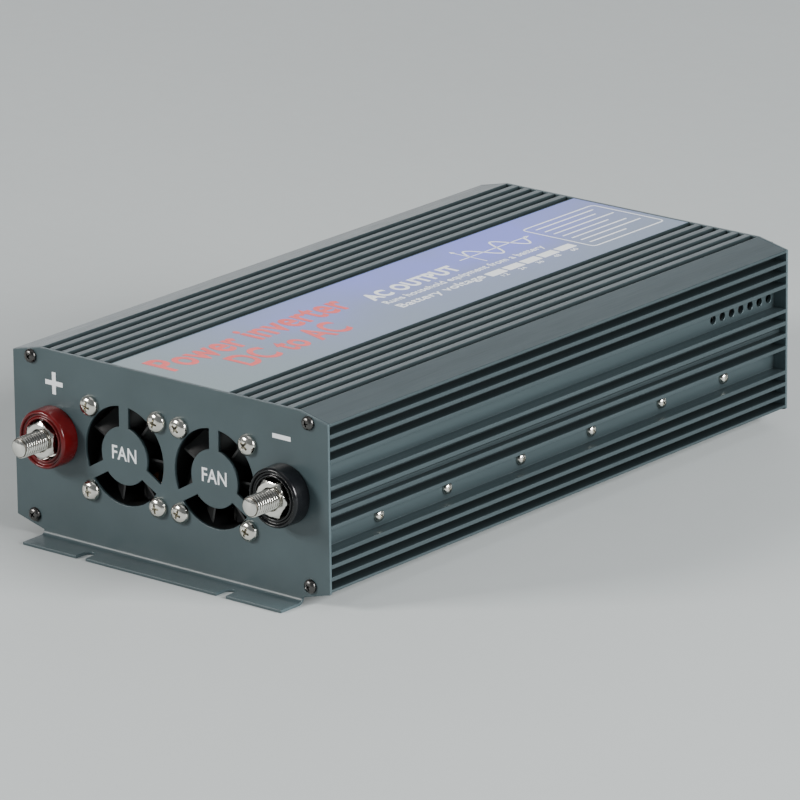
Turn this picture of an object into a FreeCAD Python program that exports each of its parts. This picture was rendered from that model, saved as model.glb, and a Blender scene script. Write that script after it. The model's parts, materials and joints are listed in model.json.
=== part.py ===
import FreeCAD, Part
import math
import os

import Sketcher
from FreeCAD import Placement, Rotation, Vector

# Power inverter: a finned two-shell aluminium case between two sheet metal end panels, with two fans
# and two battery studs at the front, and sockets, switch and lamps at the back.
# Frame: +Z up, the front panel faces -Y, and the origin is under the middle of the whole part,
# on the plane that the mounting flanges rest on. All sizes are in millimetres.

SIZES = [
    # case
    ("case_width", 185.0), ("case_length", 338.0), ("case_shift", 5.0), ("sheet_gauge", 1.5),
    ("seam_height", 47.4), ("shell_height", 42.5), ("shoulder_drop", 3.7), ("crown_half", 76.0),
    ("fin_depth", 7.0), ("wall_gauge", 2.0), ("top_groove_depth", 5.0), ("top_web", 2.2),
    ("rib_pitch", 7.33), ("top_groove_width", 3.8), ("first_groove", 37.0),
    ("label_half", 34.6), ("label_recess", 0.5), ("label_film", 0.3),
    ("seam_half", 1.95), ("seam_depth", 3.5), ("fin_pitch", 5.7), ("fin_groove", 3.75),
    ("channel_low", 10.05), ("channel_high", 20.25), ("low_groove_start", 4.1), ("low_groove_end", 8.15),
    ("high_groove_start", 22.3), ("corner_screw_x", 81.5), ("corner_screw_rise", 37.6),
    ("corner_bore", 1.35), ("rail_reach", 2.0), ("rail_slot", 1.8), ("board_gauge", 1.6),
    ("board_drop", 27.4), ("rail_gauge", 1.4), ("tongue_width", 1.6), ("tongue_height", 1.5),
    ("vent_radius", 2.1), ("vent_pitch", 7.23), ("vent_first", 119.5), ("vent_rise", 14.9),
    ("clamp_screw_drop", 15.1), ("clamp_hole", 1.7),
    # end panels
    ("panel_foot", 3.5), ("panel_half", 76.5), ("panel_low", 7.8), ("bend_radius", 2.0),
    ("flange_reach", 14.4), ("slot_x", 41.5), ("slot_width", 5.6), ("slot_depth", 8.6),
    # fans
    ("fan_x", 26.55), ("fan_z", 48.2), ("fan_size", 50.0), ("fan_thick", 15.0), ("fan_holes", 40.0),
    ("fan_duct", 23.6), ("grille_outer", 23.2), ("grille_disc", 13.6), ("grille_spoke", 5.6),
    ("fan_hub", 12.3), ("fan_blade_tip", 22.8), ("shaft_radius", 1.5), ("shaft_gap", 0.05),
    # battery terminals
    ("terminal_x", 68.0), ("terminal_z", 50.0), ("terminal_radius", 14.0), ("terminal_tall", 9.5),
    ("stud_radius", 5.0), ("stud_free", 4.8), ("stud_reach", 24.4), ("stud_gap", 0.2),
    ("nut_flat", 16.0), ("nut_thick", 6.5), ("nut_seat", 2.6), ("nut_well", 9.8),
    ("washer_radius", 9.0), ("washer_gauge", 1.6), ("spigot_radius", 6.8),
    ("bush_gauge", 3.5), ("bush_radius", 11.0), ("bar_gauge", 2.0), ("bar_width", 20.0),
    # rear fittings
    ("socket_pitch", 54.0), ("socket_x", -50.0), ("socket_z", 48.0), ("socket_plate", 50.0),
    ("socket_lip", 3.5), ("socket_recess", 19.6), ("socket_depth", 17.5), ("pin_pitch", 19.0),
    ("switch_x", 50.0), ("switch_z", 64.0), ("lamp_pitch", 14.0), ("lamp_z", 42.0),
    ("earth_z", 24.0), ("earth_radius", 2.5), ("earth_free", 2.3),
    # circuit board and what stands on it
    ("board_half", 83.2), ("board_length", 286.0), ("transistor_thick", 4.5),
    ("strip_gauge", 0.4), ("clamp_bar", 3.0),
]


class Size(float):
    """A number from the sheet that remembers the expression it comes from."""

    def __new__(cls, number, text):
        size = super().__new__(cls, number)
        size.text = text
        return size

    def __add__(self, other):
        return combine(self, "+", other, float(self) + float(other))

    def __radd__(self, other):
        return combine(other, "+", self, float(other) + float(self))

    def __sub__(self, other):
        return combine(self, "-", other, float(self) - float(other))

    def __rsub__(self, other):
        return combine(other, "-", self, float(other) - float(self))

    def __mul__(self, other):
        return combine(self, "*", other, float(self) * float(other))

    def __rmul__(self, other):
        return combine(other, "*", self, float(other) * float(self))

    def __truediv__(self, other):
        return combine(self, "/", other, float(self) / float(other))

    def __neg__(self):
        return Size(-float(self), "(0 - %s)" % self.text)


def text_of(amount):
    return amount.text if isinstance(amount, Size) else "(%.6f)" % amount


def combine(left, sign, right, number):
    return Size(number, "(%s %s %s)" % (text_of(left), sign, text_of(right)))


doc = FreeCAD.newDocument("PowerInverter")
sheet = doc.addObject("Spreadsheet::Sheet", "Sizes")
for row, (alias, number) in enumerate(SIZES, start=1):
    sheet.set("A%d" % row, alias)
    sheet.set("B%d" % row, str(number))
    sheet.setAlias("B%d" % row, alias)
doc.recompute()


class Sizes:
    """The sheet's cells as attributes, one Size for each alias."""


for alias, number in SIZES:
    setattr(Sizes, alias, Size(number, "Sizes." + alias))
S = Sizes
nodes = {}

HALF_WIDTH = S.case_width / 2
FRONT_FACE = S.case_shift - S.case_length / 2
REAR_FACE = S.case_shift + S.case_length / 2
INNER_WALL = HALF_WIDTH - S.fin_depth - S.wall_gauge
BOARD_TOP = S.seam_height - S.board_drop
STACK = S.nut_seat + S.washer_gauge
STUD_BORE = S.stud_radius + S.stud_gap
HALF_TURN = Rotation(Vector(0, 0, 1), 180)
THREAD_GAP = 0.05
CLAMP_SCREWS = (-127.0, -79.0, -26.0, 26.0, 79.0, 127.0)
BAR_SCREWS = (30.0, 44.0)
PANEL_SCREW_HOLE = 1.7
FAN_SCREW_HOLE = 2.2
BAR_SCREW_HOLE = 2.2
SOCKET_SCREW = 19.5
ROCKER_PIVOT = 1.0
ROCKER_TILT = 10.0


# ---- helpers ----

def bind(thing, prop, amount):
    thing.setExpression(prop, text_of(amount))


def move(thing, x=0.0, y=0.0, z=0.0, turn=None):
    """Bind an object's position to the sheet, after an optional turn."""
    if turn is not None:
        thing.Placement = Placement(Vector(), turn)
    for axis, amount in zip("xyz", (x, y, z)):
        bind(thing, "Placement.Base." + axis, amount)
    return thing


def new_body(label):
    body = doc.addObject("PartDesign::Body", label)
    body.Label = label
    return body


def keep(thing, label=None):
    """Register a finished sub-part under its label."""
    thing.Label = label or thing.Label
    nodes[thing.Label] = thing
    return thing


def sketch_on(body, plane, u=0.0, v=0.0, w=0.0):
    sketch = body.newObject("Sketcher::SketchObject", body.Name + "_sketch")
    support = next(f for f in body.Origin.OriginFeatures if f.Role == plane)
    sketch.AttachmentSupport = (support, [""])
    sketch.MapMode = "FlatFace"
    for axis, amount in zip("xyz", (u, v, w)):
        bind(sketch, "AttachmentOffset.Base." + axis, amount)
    return sketch


def measure(sketch, kind, amount, *where):
    index = sketch.addConstraint(Sketcher.Constraint(kind, *where, float(amount)))
    bind(sketch, "Constraints[%d]" % index, amount)


def pin_point(sketch, edge, end, x, y):
    measure(sketch, "DistanceX", x, -1, 1, edge, end)
    measure(sketch, "DistanceY", y, -1, 1, edge, end)


def polygon(sketch, corners):
    """A closed outline of straight edges, with every corner bound to the sheet."""
    first = sketch.GeometryCount
    count = len(corners)
    points = [Vector(float(x), float(y), 0) for x, y in corners]
    for i in range(count):
        sketch.addGeometry(Part.LineSegment(points[i], points[(i + 1) % count]), False)
    for i, (x, y) in enumerate(corners):
        after = first + (i + 1) % count
        sketch.addConstraint(Sketcher.Constraint("Coincident", first + i, 2, after, 1))
        pin_point(sketch, first + i, 1, x, y)


def rectangle(sketch, x0, y0, x1, y1):
    polygon(sketch, [(x0, y0), (x1, y0), (x1, y1), (x0, y1)])


def circle(sketch, x, y, radius):
    centre = Vector(float(x), float(y), 0)
    edge = sketch.addGeometry(Part.Circle(centre, Vector(0, 0, 1), float(radius)), False)
    pin_point(sketch, edge, 3, x, y)
    measure(sketch, "Radius", radius, edge)


def arc(sketch, x, y, radius, start, end):
    """An arc about a bound centre, from one angle to another, in degrees."""
    whole = Part.Circle(Vector(float(x), float(y), 0), Vector(0, 0, 1), float(radius))
    angles = math.radians(start), math.radians(end)
    edge = sketch.addGeometry(Part.ArcOfCircle(whole, *angles), False)
    pin_point(sketch, edge, 3, x, y)
    measure(sketch, "Radius", radius, edge)
    return edge


def pad(body, sketch, length, both=False, back=False):
    feature = body.newObject("PartDesign::Pad", body.Name + "_pad")
    feature.Profile = sketch
    bind(feature, "Length", length)
    feature.SideType = "Symmetric" if both else "One side"
    feature.Reversed = back
    return feature


def pocket(body, sketch, depth=None, both=False, back=False):
    feature = body.newObject("PartDesign::Pocket", body.Name + "_pocket")
    feature.Profile = sketch
    if depth is None:
        feature.Type = "ThroughAll"
    else:
        bind(feature, "Length", depth)
    feature.SideType = "Symmetric" if both else "One side"
    feature.Reversed = back
    return feature


def turned(label, profile):
    """A body turned about its own Y axis from (along, radius) corners."""
    body = new_body(label)
    sketch = sketch_on(body, "YZ_Plane")
    polygon(sketch, profile)
    feature = body.newObject("PartDesign::Revolution", label + "_turn")
    feature.Profile = sketch
    feature.ReferenceAxis = (sketch, ["H_Axis"])
    feature.Angle = 360
    return body


def hex_nut(label, across_flats, thick, bore):
    """A nut on the Y axis, from y = 0 outwards to y = -thick."""
    body = new_body(label)
    sketch = sketch_on(body, "XZ_Plane")
    corner = float(across_flats) / math.sqrt(3)
    scale = across_flats / float(across_flats)
    polygon(sketch, [(scale * (corner * math.cos(math.radians(60 * k))),
                      scale * (corner * math.sin(math.radians(60 * k)))) for k in range(6)])
    circle(sketch, 0, 0, bore)
    pad(body, sketch, thick)
    return body


def block(label, corner, size):
    """A plain rectangular piece given by its lowest corner and its three sizes."""
    box = doc.addObject("Part::Box", label)
    for prop, amount in zip(("Length", "Width", "Height"), size):
        bind(box, prop, amount)
    return move(box, *corner)


def group(label, shapes):
    """Identical separate pieces kept together in one sub-part."""
    feature = doc.addObject("Part::Feature", label)
    feature.Shape = Part.makeCompound(shapes)
    return keep(feature, label)


def placed(shape, x=0.0, y=0.0, z=0.0, turn=None):
    spot = Placement(Vector(float(x), float(y), float(z)), turn or Rotation())
    return shape.transformed(spot.toMatrix(), True)


def copies(label, master, places):
    """Copies of a master piece; each place is (x, y, z) or (x, y, z, turn)."""
    doc.recompute()
    return group(label, [placed(master.Shape, *place) for place in places])


def rounded_path(points, bend):
    """Straight runs joined by tangent arcs of about the given radius."""
    edges = []
    start = Vector(*points[0])
    for before, corner, after in zip(points, points[1:], points[2:]):
        corner = Vector(*corner)
        back = (Vector(*before) - corner).normalize()
        ahead = (Vector(*after) - corner).normalize()
        half = back.getAngle(ahead) / 2
        reach = bend / math.tan(half)
        middle = (back + ahead).normalize()
        centre = corner + middle * (bend / math.sin(half))
        first, last = corner + back * reach, corner + ahead * reach
        edges.append(Part.LineSegment(start, first).toShape())
        edges.append(Part.Arc(first, centre - middle * bend, last).toShape())
        start = last
    edges.append(Part.LineSegment(start, Vector(*points[-1])).toShape())
    return Part.Wire(edges)


def tube(points, radius, bend):
    """A round wire along a path with rounded bends."""
    path = rounded_path(points, bend)
    heading = Vector(*points[1]) - Vector(*points[0])
    section = Part.Wire(Part.makeCircle(radius, Vector(*points[0]), heading))
    sweep = Part.BRepOffsetAPI.MakePipeShell(path)
    sweep.setFrenetMode(True)
    sweep.add(section)
    sweep.build()
    sweep.makeSolid()
    return sweep.shape()


# ---- case shells ----

def mirrored(corners):
    """Corners for x >= 0, followed by the same corners on the other side."""
    return corners + [(-x, y) for x, y in reversed(corners)]


def shell_outline(body):
    """The closed outer section: flat crown, sloping shoulders and upright sides."""
    lip = S.shell_height - S.shoulder_drop
    sketch = sketch_on(body, "XZ_Plane")
    polygon(sketch, mirrored([(HALF_WIDTH, 0.0), (HALF_WIDTH, lip), (S.crown_half, S.shell_height)]))
    pad(body, sketch, S.case_length - 2 * S.sheet_gauge, both=True)


def shell_inside(body):
    """The inner space, with card rails on the walls and a raised middle under the label."""
    roof = S.shell_height - S.top_groove_depth - S.top_web
    slot = S.board_drop - (S.rail_slot - S.board_gauge) / 2
    ledge = INNER_WALL - S.rail_reach
    sketch = sketch_on(body, "XZ_Plane")
    polygon(sketch, mirrored([
        (INNER_WALL, 0.0), (INNER_WALL, slot - S.rail_gauge), (ledge, slot - S.rail_gauge),
        (ledge, slot), (INNER_WALL, slot), (INNER_WALL, slot + S.rail_slot),
        (ledge, slot + S.rail_slot), (ledge, slot + S.rail_slot + S.rail_gauge),
        (INNER_WALL, slot + S.rail_slot + S.rail_gauge), (INNER_WALL, roof - 3), (INNER_WALL - 3, roof),
        (S.label_half + 1, roof), (S.label_half - 2, S.shell_height - S.label_recess - 2.5)]))
    pocket(body, sketch, both=True)


def shell_grooves(body):
    """Grooves between the ribs on top and between the fins on both sides, and the label recess."""
    top = sketch_on(body, "XZ_Plane")
    floor = S.shell_height - S.top_groove_depth
    for side in (-1, 1):
        for k in range(6):
            middle = (S.first_groove + k * S.rib_pitch) * side
            rectangle(top, middle - S.top_groove_width / 2, floor,
                      middle + S.top_groove_width / 2, S.shell_height + 1)
    rectangle(top, -S.label_half, S.shell_height - S.label_recess, S.label_half, S.shell_height + 1)
    pocket(body, top, both=True)
    sides = sketch_on(body, "XZ_Plane")
    root = HALF_WIDTH - S.fin_depth
    bands = [(S.low_groove_start, S.low_groove_end), (S.channel_low, S.channel_high)]
    for k in range(3):
        start = S.high_groove_start + k * S.fin_pitch
        bands.append((start, start + S.fin_groove))
    for side in (-1, 1):
        rectangle(sides, side * (HALF_WIDTH - S.seam_depth), -1, side * (HALF_WIDTH + 1), S.seam_half)
        for low, high in bands:
            rectangle(sides, side * root, low, side * (HALF_WIDTH + 1), high)
    pocket(body, sides, both=True)


def shell_joint(body):
    """A tongue along one seam and a groove along the other, so two equal shells lock together."""
    inset = (HALF_WIDTH - S.seam_depth + INNER_WALL) / 2
    tongue = sketch_on(body, "XZ_Plane")
    rectangle(tongue, -inset - S.tongue_width / 2, -S.tongue_height, -inset + S.tongue_width / 2, 0.5)
    pad(body, tongue, S.case_length - 2 * S.sheet_gauge, both=True)
    groove = sketch_on(body, "XZ_Plane")
    room = S.tongue_width / 2 + 0.1
    rectangle(groove, inset - room, -1, inset + room, S.tongue_height + 0.2)
    pocket(body, groove, both=True)


def shell_corner_bores(body):
    bores = sketch_on(body, "XZ_Plane")
    for side in (-1, 1):
        circle(bores, side * S.corner_screw_x, S.corner_screw_rise, S.corner_bore)
    pocket(body, bores, both=True)


def case_shell(label):
    body = new_body(label)
    shell_outline(body)
    shell_inside(body)
    shell_grooves(body)
    shell_joint(body)
    shell_corner_bores(body)
    return body


upper = case_shell("upper_shell")
vents = sketch_on(upper, "YZ_Plane")
for k in range(7):
    circle(vents, S.vent_first + k * S.vent_pitch, S.vent_rise, S.vent_radius)
pocket(upper, vents, both=True)
keep(move(upper, 0, S.case_shift, S.seam_height))

lower = case_shell("lower_shell")
clamps = sketch_on(lower, "YZ_Plane")
for spot in CLAMP_SCREWS:
    circle(clamps, spot, S.clamp_screw_drop, S.clamp_hole)
pocket(lower, clamps, both=True)
keep(move(lower, 0, S.case_shift, S.seam_height, Rotation(Vector(0, 1, 0), 180)))

label_face = S.seam_height + S.shell_height - S.label_recess
keep(block("top_label", (-S.label_half + 0.2, FRONT_FACE + S.sheet_gauge, label_face),
           (2 * S.label_half - 0.4, S.case_length - 2 * S.sheet_gauge, S.label_film)))


# ---- end panels ----

def panel_sheet(body):
    """The upright sheet: an octagon with long sides, from its inner face at y = 0 outwards."""
    crown = S.seam_height + S.shell_height
    shoulder = crown - S.shoulder_drop
    face = sketch_on(body, "XZ_Plane")
    polygon(face, mirrored([(S.panel_half, S.panel_foot), (HALF_WIDTH, S.panel_low),
                            (HALF_WIDTH, shoulder), (S.crown_half, crown)]))
    pad(body, face, S.sheet_gauge)


def panel_flange(body):
    """The foot of the panel, bent outwards through a right angle to lie on the floor."""
    bend = sketch_on(body, "YZ_Plane")
    axis_y = -S.sheet_gauge - S.bend_radius
    axis_z = S.sheet_gauge + S.bend_radius
    tip = -S.sheet_gauge - S.flange_reach
    inner = arc(bend, axis_y, axis_z, S.bend_radius, 270, 360)
    outer = arc(bend, axis_y, axis_z, S.bend_radius + S.sheet_gauge, 270, 360)
    runs = [((axis_y, S.sheet_gauge), (tip, S.sheet_gauge)), ((tip, S.sheet_gauge), (tip, 0.0)),
            ((tip, 0.0), (axis_y, 0.0)), ((0.0, axis_z), (-S.sheet_gauge, axis_z))]
    lines = []
    for start, end in runs:
        ends = [Vector(float(y), float(z), 0) for y, z in (start, end)]
        lines.append(bend.addGeometry(Part.LineSegment(*ends), False))
    top, front, bottom, back = lines
    for smooth in ((inner, 1, top, 1), (bottom, 2, outer, 1)):
        bend.addConstraint(Sketcher.Constraint("Tangent", *smooth))
    for join in ((top, 2, front, 1), (front, 2, bottom, 1), (outer, 2, back, 1), (back, 2, inner, 2)):
        bend.addConstraint(Sketcher.Constraint("Coincident", *join))
    for edge in (top, bottom, back):
        bend.addConstraint(Sketcher.Constraint("Horizontal", edge))
    bend.addConstraint(Sketcher.Constraint("Vertical", front))
    measure(bend, "DistanceX", tip, -1, 1, front, 1)
    measure(bend, "DistanceY", axis_z, -1, 1, back, 1)
    pad(body, bend, 2 * S.panel_half, both=True)


def panel_slots(body):
    """Two open-ended slots in the flange for the mounting screws."""
    slots = sketch_on(body, "XY_Plane")
    tip = -S.sheet_gauge - S.flange_reach
    end = tip + S.slot_depth - S.slot_width / 2
    for side in (-1, 1):
        x = side * S.slot_x
        rectangle(slots, x - S.slot_width / 2, tip - 1, x + S.slot_width / 2, end)
    pocket(body, slots, S.sheet_gauge + 1, back=True)
    ends = sketch_on(body, "XY_Plane")
    for side in (-1, 1):
        circle(ends, side * S.slot_x, end, S.slot_width / 2)
    pocket(body, ends, S.sheet_gauge + 1, back=True)


def panel_holes(body, holes):
    """Round holes through the sheet, each given as (x, z, radius)."""
    sketch = sketch_on(body, "XZ_Plane")
    for x, z, radius in holes:
        circle(sketch, x, z, radius)
    pocket(body, sketch, both=True)


def corner_places():
    return [(x * S.corner_screw_x, S.seam_height + z * S.corner_screw_rise)
            for x in (-1, 1) for z in (-1, 1)]


def grille(body, x):
    """Three openings between a centre disc, an outer circle and three spokes."""
    opening = sketch_on(body, "XZ_Plane", x, S.fan_z)
    half = S.grille_spoke / 2
    wide = math.degrees(math.asin(half / S.grille_outer))
    narrow = math.degrees(math.asin(half / S.grille_disc))
    outer = arc(opening, 0, 0, S.grille_outer, 90 + wide, 210 - wide)
    inner = arc(opening, 0, 0, S.grille_disc, 90 + narrow, 210 - narrow)
    sides = []
    for end, near, far in ((1, 90 + narrow, 90 + wide), (2, 210 - narrow, 210 - wide)):
        corners = [Vector(radius * math.cos(math.radians(angle)), radius * math.sin(math.radians(angle)), 0)
                   for radius, angle in ((float(S.grille_disc), near), (float(S.grille_outer), far))]
        line = opening.addGeometry(Part.LineSegment(*corners), False)
        opening.addConstraint(Sketcher.Constraint("Coincident", line, 1, inner, end))
        opening.addConstraint(Sketcher.Constraint("Coincident", line, 2, outer, end))
        sides.append(line)
    opening.addConstraint(Sketcher.Constraint("Vertical", sides[0]))
    measure(opening, "DistanceX", -half, -1, 1, sides[0], 1)
    opening.addConstraint(Sketcher.Constraint("Angle", sides[1], math.radians(210)))
    measure(opening, "Distance", half, -1, 1, sides[1])
    cut = pocket(body, opening, both=True)
    pattern = body.newObject("PartDesign::PolarPattern", body.Name + "_grille")
    pattern.Originals = [cut]
    pattern.Axis = (opening, ["N_Axis"])
    pattern.Occurrences = 3
    body.Tip = pattern


def fan_hole_places():
    reach = S.fan_holes / 2
    return [(side * S.fan_x + x * reach, S.fan_z + z * reach)
            for side in (-1, 1) for x in (-1, 1) for z in (-1, 1)]


front = new_body("front_panel")
panel_sheet(front)
panel_flange(front)
panel_slots(front)
panel_holes(front, [(x, z, PANEL_SCREW_HOLE) for x, z in corner_places()]
            + [(x, z, FAN_SCREW_HOLE) for x, z in fan_hole_places()]
            + [(side * S.terminal_x, S.terminal_z, S.spigot_radius + 0.2) for side in (-1, 1)])
for side in (-1, 1):
    grille(front, side * S.fan_x)
keep(move(front, 0, FRONT_FACE + S.sheet_gauge, 0))

SOCKETS = [S.socket_x, S.socket_x + S.socket_pitch]
LAMPS = [S.switch_x - S.lamp_pitch / 2, S.switch_x + S.lamp_pitch / 2]

rear = new_body("rear_panel")
panel_sheet(rear)
panel_flange(rear)
panel_slots(rear)
panel_holes(rear, [(x, z, PANEL_SCREW_HOLE) for x, z in corner_places()]
            + [(x, S.socket_z, S.socket_recess + 2.6) for x in SOCKETS]
            + [(x + a * SOCKET_SCREW, S.socket_z + b * SOCKET_SCREW, PANEL_SCREW_HOLE)
               for x in SOCKETS for a in (-1, 1) for b in (-1, 1)]
            + [(x, S.lamp_z, 2.6) for x in LAMPS]
            + [(S.switch_x, S.earth_z, 2.7)])
opening = sketch_on(rear, "XZ_Plane")
rectangle(opening, S.switch_x - 6.5, S.switch_z - 9.5, S.switch_x + 6.5, S.switch_z + 9.5)
pocket(rear, opening, both=True)
keep(move(rear, 0, REAR_FACE - S.sheet_gauge, 0, HALF_TURN))


def on_front(x, z):
    """Where a front fitting's own origin goes, on the front panel's outer face."""
    return x, FRONT_FACE, z


def on_rear(x, z):
    """The same for a rear fitting, with x to the right as seen from behind the part."""
    return -x, REAR_FACE, z, HALF_TURN


# ---- screws ----

def pan_screw(label, head_radius, head_tall, shank_radius, length):
    """A pan head outside y = 0 with a cross recess, and a plain shank inwards."""
    body = turned(label, [(-head_tall, 0.0), (-head_tall, head_radius * 0.5),
                          (-0.45 * head_tall, head_radius * 0.93), (-0.15 * head_tall, head_radius),
                          (0.0, head_radius), (0.0, shank_radius), (length - 0.6, shank_radius),
                          (length, shank_radius * 0.6), (length, 0.0)])
    cross = sketch_on(body, "XZ_Plane", 0, 0, head_tall + 0.5)
    arm, slit = head_radius * 0.52, head_radius * 0.13
    polygon(cross, [(arm, -slit), (arm, slit), (slit, slit), (slit, arm), (-slit, arm), (-slit, slit),
                    (-arm, slit), (-arm, -slit), (-slit, -slit), (-slit, -arm), (slit, -arm), (slit, -slit)])
    pocket(body, cross, 0.55 * head_tall + 0.5)
    return body


panel_screw = pan_screw("panel_screw_pattern", 3.3, 2.2, 1.25, 12.0)
copies("panel_screws", panel_screw, [on_front(x, z) for x, z in corner_places()]
       + [on_rear(x, z) for x, z in corner_places()])

side_screw = pan_screw("side_screw_pattern", 2.9, 2.2, 1.45, 11.0)
side_places = []
for side in (-1, 1):
    turn = Rotation(Vector(0, 0, 1), 90 * side)
    for spot in CLAMP_SCREWS:
        side_places.append((side * (HALF_WIDTH - S.fin_depth), S.case_shift + spot,
                            S.seam_height - S.clamp_screw_drop, turn))
copies("side_screws", side_screw, side_places)

fan_screw = pan_screw("fan_screw_pattern", 5.0, 3.2, 1.95, 20.2)
copies("fan_screws", fan_screw, [on_front(x, z) for x, z in fan_hole_places()])
fan_nut = hex_nut("fan_nut_pattern", 7.0, 3.2, 2.0)
copies("fan_nuts", fan_nut, [(x, FRONT_FACE + S.sheet_gauge + S.fan_thick + 3.2, z)
                             for x, z in fan_hole_places()])

# ---- fans ----

def fan_frame(label):
    """A square housing with a round duct, four struts, a motor base and a bearing tube."""
    body = new_body(label)
    half, cut = S.fan_size / 2, S.fan_size / 2 - 2.5
    square = sketch_on(body, "XZ_Plane")
    polygon(square, mirrored([(cut, -half), (half, -cut), (half, cut), (cut, half)]))
    pad(body, square, S.fan_thick, back=True)
    holes = sketch_on(body, "XZ_Plane")
    circle(holes, 0, 0, S.fan_duct)
    for x in (-1, 1):
        for z in (-1, 1):
            circle(holes, x * S.fan_holes / 2, z * S.fan_holes / 2, FAN_SCREW_HOLE)
    pocket(body, holes)
    strut, reach = 1.5, S.fan_duct + 0.8
    struts = sketch_on(body, "XZ_Plane", 0, 0, 2 - S.fan_thick)
    polygon(struts, [(reach, -strut), (reach, strut), (strut, strut), (strut, reach), (-strut, reach),
                     (-strut, strut), (-reach, strut), (-reach, -strut), (-strut, -strut),
                     (-strut, -reach), (strut, -reach), (strut, -strut)])
    pad(body, struts, 2.0, back=True)
    base = sketch_on(body, "XZ_Plane", 0, 0, 2 - S.fan_thick)
    circle(base, 0, 0, S.fan_hub - 0.6)
    pad(body, base, 2.0, back=True)
    stem = sketch_on(body, "XZ_Plane", 0, 0, 2 - S.fan_thick)
    circle(stem, 0, 0, 3.4)
    pad(body, stem, 9.0)
    bore = sketch_on(body, "XZ_Plane", 0, 0, 1.2 - S.fan_thick)
    circle(bore, 0, 0, S.shaft_radius + S.shaft_gap)
    pocket(body, bore, 20.0, back=True)
    return body


def blade_section(radius, lean, front, back):
    """A thin slanted strip across the air stream, in the flat plane at one radius."""
    corners = [Vector(offset, y, radius)
               for offset, y in ((-lean, front), (-lean + 1.1, front), (lean, back), (lean - 1.1, back))]
    return Part.makePolygon(corners + corners[:1])


def impeller():
    """A cup-shaped hub with seven twisted blades."""
    hub = Part.makeCylinder(S.fan_hub, 8.6, Vector(0, 1.2, 0), Vector(0, 1, 0))
    hollow = Part.makeCylinder(S.fan_hub - 1.3, 7.6, Vector(0, 2.4, 0), Vector(0, 1, 0))
    seat = Part.makeCylinder(S.shaft_radius, 1.3, Vector(0, 1.15, 0), Vector(0, 1, 0))
    wheel = hub.cut(hollow).cut(seat)
    root = blade_section(S.fan_hub - 1.0, 3.6, 1.8, 9.0)
    tip = blade_section(S.fan_blade_tip - 0.9, 6.0, 2.2, 9.0)
    blade = Part.makeLoft([root, tip], True, True)
    for k in range(7):
        turned_blade = blade.copy()
        turned_blade.rotate(Vector(), Vector(0, 1, 0), k * 360 / 7)
        wheel = wheel.fuse(turned_blade)
    return wheel.removeSplitter()


def stator():
    """Four iron poles on a sleeve around the bearing tube, with a coil on each."""
    across = Vector(0, 1, 0)
    sleeve = Part.makeCylinder(4.6, 5.0, Vector(0, 4.6, 0), across)
    iron = sleeve
    rim = Part.makeCylinder(9.0, 3.0, Vector(0, 5.6, 0), across)
    rim = rim.cut(Part.makeCylinder(7.8, 4.0, Vector(0, 5.1, 0), across))
    gap = Part.makeBox(3.0, 6.0, 30.0, Vector(-1.5, 4.0, -15.0))
    for k in range(4):
        arm = Part.makeBox(2.4, 3.0, 8.0, Vector(-1.2, 5.6, 0.0))
        coil = Part.makeBox(4.4, 5.0, 3.2, Vector(-2.2, 4.6, 4.3))
        for piece in (arm, coil):
            piece.rotate(Vector(), across, 90 * k)
            iron = iron.fuse(piece)
    for k in range(2):
        slot = gap.copy()
        slot.rotate(Vector(), across, 45 + 90 * k)
        rim = rim.cut(slot)
    iron = iron.fuse(rim).cut(Part.makeCylinder(3.5, 12.0, Vector(0, 1, 0), across))
    return iron.removeSplitter()


fan_back = FRONT_FACE + S.sheet_gauge
magnet = turned("fan_magnet_pattern", [(3.0, 9.5), (3.0, 10.9), (9.2, 10.9), (9.2, 9.5)])
shaft = turned("fan_shaft_pattern", [(1.2, 0.0), (1.2, S.shaft_radius), (12.4, S.shaft_radius), (12.4, 0.0)])
for name, side in (("left", -1), ("right", 1)):
    spot = (side * S.fan_x, fan_back, S.fan_z)
    keep(move(fan_frame(name + "_fan_frame"), *spot))
    wheel = doc.addObject("Part::Feature", name + "_fan_impeller")
    wheel.Shape = impeller()
    keep(move(wheel, *spot))
    copies(name + "_fan_magnet", magnet, [spot])
    copies(name + "_fan_shaft", shaft, [spot])
group("fan_stators", [placed(stator(), side * S.fan_x, fan_back, S.fan_z) for side in (-1, 1)])

# ---- battery terminals ----

def terminal_body(label, side):
    """A stepped plastic collar, with a spigot through the panel and a well for the nut."""
    rim, tall, well = S.terminal_radius, S.terminal_tall, S.nut_well
    body = turned(label, [(S.sheet_gauge, STUD_BORE), (S.sheet_gauge, S.spigot_radius),
                          (0.0, S.spigot_radius), (0.0, rim), (1.4 - tall, rim), (0.4 - tall, rim - 0.5),
                          (-tall, rim - 1.4), (0.2 - tall, rim - 2.0), (1.2 - tall, rim - 2.2),
                          (1.2 - tall, well + 1.3), (0.5 - tall, well + 1.1), (0.3 - tall, well + 0.2),
                          (0.9 - tall, well), (-S.nut_seat, well), (-S.nut_seat, STUD_BORE)])
    return keep(move(body, *on_front(side * S.terminal_x, S.terminal_z)))


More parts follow.
